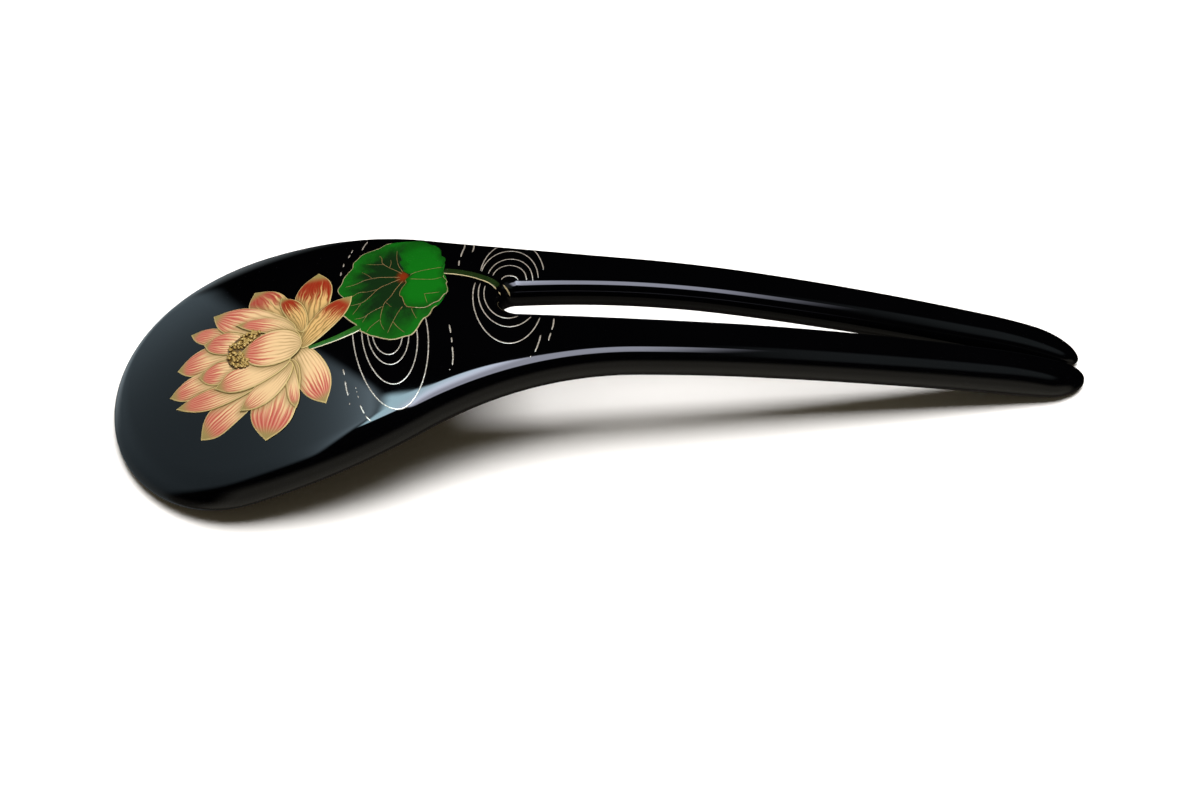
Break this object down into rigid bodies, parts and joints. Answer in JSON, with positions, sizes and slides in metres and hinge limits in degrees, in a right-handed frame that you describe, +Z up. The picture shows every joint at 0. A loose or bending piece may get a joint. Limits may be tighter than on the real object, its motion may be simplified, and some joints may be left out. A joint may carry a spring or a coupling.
{
  "type": "kanzashi hairpin",
  "caption": "Two-pronged wooden hairpin with a broad arched head, lacquered black, with a raised lotus, its leaf and ripples in coloured lacquer.",
  "frame": {"origin": "on the table under the middle of the pin, halfway between the head's end and the prongs' tips", "axes": "+X along the pin from the head toward the prongs' tips, +Y toward the side that lies away from the viewer of the picture, +Z up from the table the pin rests on"},
  "size_m": [0.1446, 0.0486, 0.0212],
  "materials": {
    "black_lacquer": "polished black lacquer over wood",
    "petal_lacquer": "raised cream lacquer shaded to coral",
    "gold": "gold powder on lacquer",
    "leaf_lacquer": "dark green lacquer",
    "fold_lacquer": "bright green lacquer",
    "stem_lacquer": "dark green lacquer",
    "silver_line": "silver powder on lacquer"
  },
  "bodies": {
    "root": {"lacquer_body": "black_lacquer", "leaf": "leaf_lacquer", "leaf_fold": "fold_lacquer", "leaf_stem": "stem_lacquer", "flower_stem": "stem_lacquer", "stamens": "gold", "petal_left_high": "petal_lacquer", "petal_back_left": "petal_lacquer", "petal_back_right": "petal_lacquer", "petal_right": "petal_lacquer", "petal_back_fold": "petal_lacquer", "petal_left_long": "petal_lacquer", "petal_left_mid": "petal_lacquer", "petal_left_low": "petal_lacquer", "petal_low_left": "petal_lacquer", "petal_front_left": "petal_lacquer", "petal_under_right": "petal_lacquer", "petal_under_mid": "petal_lacquer", "petal_under_fold": "petal_lacquer", "petal_under_left": "petal_lacquer", "petal_inner_high": "petal_lacquer", "petal_inner_mid": "petal_lacquer", "petal_inner_low": "petal_lacquer", "petal_front_high": "petal_lacquer", "petal_front_cup": "petal_lacquer", "leaf_ripple_1": "silver_line", "leaf_ripple_2": "silver_line", "leaf_ripple_3": "silver_line", "leaf_ripple_4": "silver_line", "root_ripple_1": "silver_line", "root_ripple_2": "silver_line", "root_ripple_3": "silver_line", "root_ripple_4": "silver_line", "root_ripple_5": "silver_line", "root_ripple_6": "silver_line", "root_ripple_7": "silver_line", "root_ripple_8": "silver_line", "root_ripple_9": "silver_line"}
  },
  "joints": []
}
